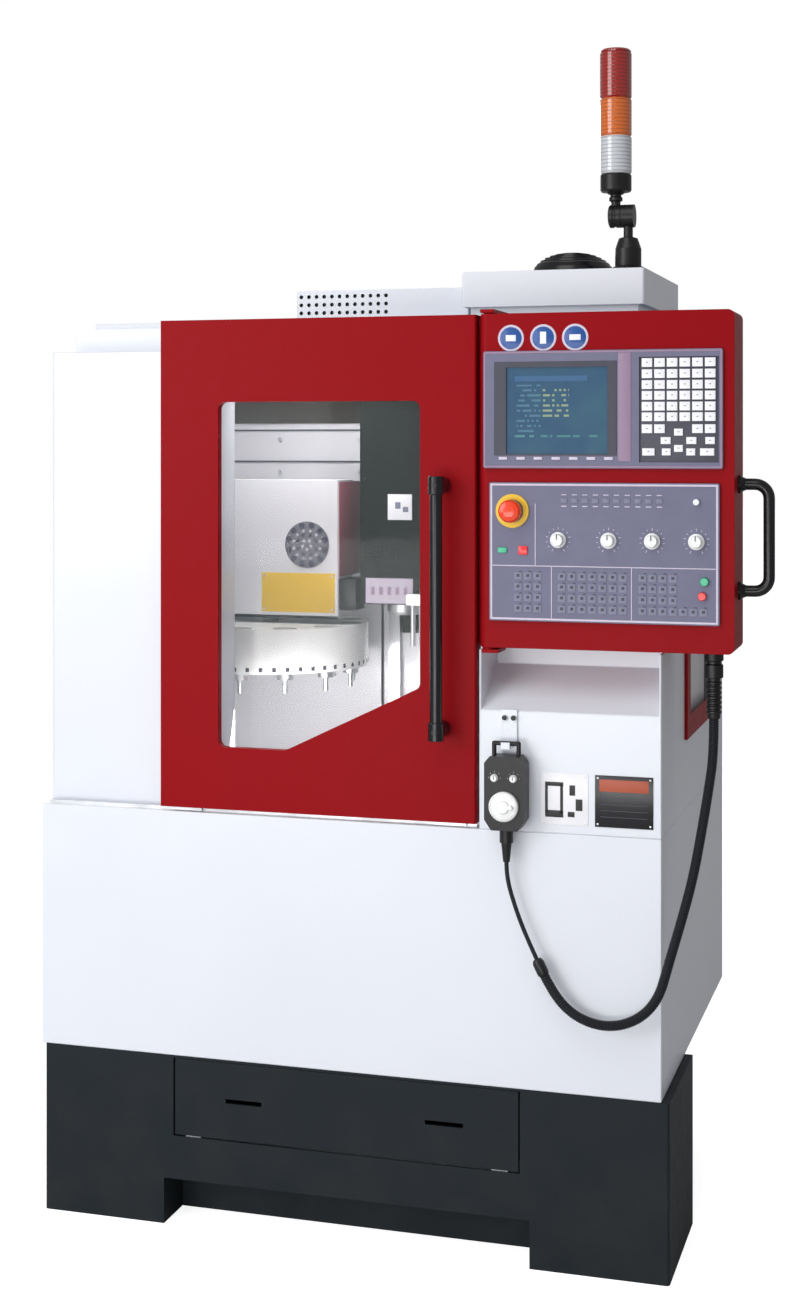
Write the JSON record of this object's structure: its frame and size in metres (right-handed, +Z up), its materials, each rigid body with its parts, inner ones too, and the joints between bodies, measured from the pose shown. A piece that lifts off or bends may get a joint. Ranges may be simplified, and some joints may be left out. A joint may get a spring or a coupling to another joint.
{
  "type": "compact vertical machining centre",
  "caption": "Compact enclosed vertical machining centre with sliding door, swivel console, tool carousel, hand pendant and signal tower.",
  "frame": {"origin": "on the floor, at the middle of the four anchor holes of the stand's levelling feet", "axes": "+Z up, +Y to the back of the machine, +X to the operator's right"},
  "size_m": [1.367, 1.0532, 2.207],
  "materials": {
    "base_grey": "satin powder coat",
    "machine_white": "satin powder coat",
    "signal_red": "semi-gloss paint",
    "cast_grey": "painted casting",
    "ground_steel": "ground and polished",
    "black_plastic": "moulded",
    "black_metal": "satin black",
    "panel_grey": "film overlay",
    "white_plastic": "moulded",
    "lamp_red": "translucent lens",
    "stop_red": "moulded",
    "start_green": "moulded",
    "screen_glass": "coated glass front",
    "clear_glass": "laminated",
    "black_rubber": "matt",
    "zinc_steel": "zinc plated"
  },
  "bodies": {
    "frame": {"base_cabinet": "base_grey", "machine_stand": "base_grey", "levelling_feet": "zinc_steel", "lower_apron": "machine_white", "control_side_panel": "machine_white", "left_front_cover": "machine_white", "opening_frame": "machine_white", "enclosure_shell": "machine_white", "side_window_frame": "signal_red", "side_window_pane": "clear_glass", "roof_panel": "machine_white", "roof_box": "machine_white", "fan_dome": "black_metal", "vent_box": "machine_white", "tower_base": "black_plastic", "door_rails": "zinc_steel", "console_brackets": "signal_red", "pendant_hook": "zinc_steel", "pendant_hose": "black_rubber", "pendant_lead": "black_rubber", "bed_casting": "cast_grey", "column_casting": "cast_grey", "linear_rails": "ground_steel", "inner_lining": "machine_white", "magazine_cover": "machine_white", "electrical_cabinet": "machine_white"},
    "front_door": {"door_panel": "signal_red", "door_pane": "clear_glass", "door_handle": "black_metal", "door_hangers": "zinc_steel"},
    "console": {"console_case": "signal_red", "display_unit": "panel_grey", "screen": "screen_glass", "operator_plate": "panel_grey", "console_handle": "black_metal", "hose_gland": "black_plastic"},
    "estop": {"estop_button": "stop_red"},
    "start": {"start_button": "start_green"},
    "hold": {"hold_button": "stop_red"},
    "dial_1": {"dial_one": "white_plastic"},
    "dial_2": {"dial_two": "white_plastic"},
    "dial_3": {"dial_three": "white_plastic"},
    "dial_4": {"dial_four": "white_plastic"},
    "pendant": {"pendant_case": "black_plastic"},
    "handwheel": {"pendant_wheel": "white_plastic"},
    "axis_knob": {"axis_selector": "white_plastic"},
    "step_knob": {"step_selector": "white_plastic"},
    "drawer": {"coolant_drawer": "base_grey"},
    "rear_door": {"cabinet_door": "machine_white"},
    "isolator": {"main_switch": "stop_red"},
    "cross_slide": {"saddle": "cast_grey"},
    "table": {"work_table": "ground_steel"},
    "head": {"head_casting": "cast_grey", "head_cover": "black_metal"},
    "spindle_body": {"spindle": "ground_steel"},
    "magazine": {"magazine_carriage": "ground_steel"},
    "carousel": {"tool_drum": "white_plastic", "drum_tools": "ground_steel"},
    "tower": {"tower_lamp": "lamp_red"},
    "fan": {"fan_rotor": "black_plastic"}
  },
  "joints": [
    {"name": "door_slide", "type": "slide", "parent": "frame", "child": "front_door", "axis": [-1, 0, 0], "range_m": [0, 0.4]},
    {"name": "console_swivel", "type": "hinge", "parent": "frame", "child": "console", "pos_m": [0.27, -0.526, 1.09], "axis": [0, 0, -1], "range_deg": [0, 45]},
    {"name": "estop_press", "type": "slide", "parent": "console", "child": "estop", "axis": [0, 1, 0], "range_m": [0, 0.005], "stiffness_N_per_m": 900},
    {"name": "start_press", "type": "slide", "parent": "console", "child": "start", "axis": [0, 1, 0], "range_m": [0, 0.0025], "stiffness_N_per_m": 500},
    {"name": "hold_press", "type": "slide", "parent": "console", "child": "hold", "axis": [0, 1, 0], "range_m": [0, 0.0025], "stiffness_N_per_m": 500},
    {"name": "dial_1_turn", "type": "hinge", "parent": "console", "child": "dial_1", "pos_m": [0.4, -0.54, 1.282], "axis": [0, -1, 0], "range_deg": [-150, 150]},
    {"name": "dial_2_turn", "type": "hinge", "parent": "console", "child": "dial_2", "pos_m": [0.489, -0.54, 1.282], "axis": [0, -1, 0], "range_deg": [-150, 150]},
    {"name": "dial_3_turn", "type": "hinge", "parent": "console", "child": "dial_3", "pos_m": [0.565, -0.54, 1.282], "axis": [0, -1, 0], "range_deg": [-150, 150]},
    {"name": "dial_4_turn", "type": "hinge", "parent": "console", "child": "dial_4", "pos_m": [0.641, -0.54, 1.282], "axis": [0, -1, 0], "range_deg": [-150, 150]},
    {"name": "pendant_lift", "type": "slide", "parent": "frame", "child": "pendant", "axis": [0, 0, 1], "range_m": [0, 0.01]},
    {"name": "handwheel_turn", "type": "hinge", "parent": "pendant", "child": "handwheel", "pos_m": [0.312, -0.59, 0.819], "axis": [0, -1, 0], "continuous": true},
    {"name": "axis_knob_turn", "type": "hinge", "parent": "pendant", "child": "axis_knob", "pos_m": [0.295, -0.59, 0.868], "axis": [0, -1, 0], "range_deg": [-90, 90]},
    {"name": "step_knob_turn", "type": "hinge", "parent": "pendant", "child": "step_knob", "pos_m": [0.329, -0.59, 0.868], "axis": [0, -1, 0], "range_deg": [-60, 60]},
    {"name": "drawer_slide", "type": "slide", "parent": "frame", "child": "drawer", "axis": [0, -1, 0], "range_m": [0, 0.2]},
    {"name": "rear_door_swing", "type": "hinge", "parent": "frame", "child": "rear_door", "pos_m": [-0.325, 0.4292, 0.98], "axis": [0, 0, 1], "range_deg": [0, 110]},
    {"name": "isolator_turn", "type": "hinge", "parent": "rear_door", "child": "isolator", "pos_m": [0.23, 0.43, 1.18], "axis": [0, 1, 0], "range_deg": [0, 90]},
    {"name": "saddle_y", "type": "slide", "parent": "frame", "child": "cross_slide", "axis": [0, 1, 0], "range_m": [-0.07, 0.07]},
    {"name": "table_x", "type": "slide", "parent": "cross_slide", "child": "table", "axis": [1, 0, 0], "range_m": [-0.14, 0.14]},
    {"name": "head_z", "type": "slide", "parent": "frame", "child": "head", "axis": [0, 0, 1], "range_m": [-0.24, 0]},
    {"name": "spindle_turn", "type": "hinge", "parent": "head", "child": "spindle_body", "pos_m": [0, -0.145, 1.109], "axis": [0, 0, 1], "continuous": true},
    {"name": "magazine_in", "type": "slide", "parent": "frame", "child": "magazine", "axis": [1, 0, 0], "range_m": [0, 0.114]},
    {"name": "carousel_turn", "type": "hinge", "parent": "magazine", "child": "carousel", "pos_m": [-0.286, -0.145, 1.04], "axis": [0, 0, 1], "continuous": true},
    {"name": "tower_fold", "type": "hinge", "parent": "frame", "child": "tower", "pos_m": [0.4485, -0.19, 1.886], "axis": [-1, 0, 0], "range_deg": [0, 90]},
    {"name": "fan_turn", "type": "hinge", "parent": "frame", "child": "fan", "pos_m": [0.336, -0.11, 1.73], "axis": [0, 0, 1], "continuous": true}
  ]
}
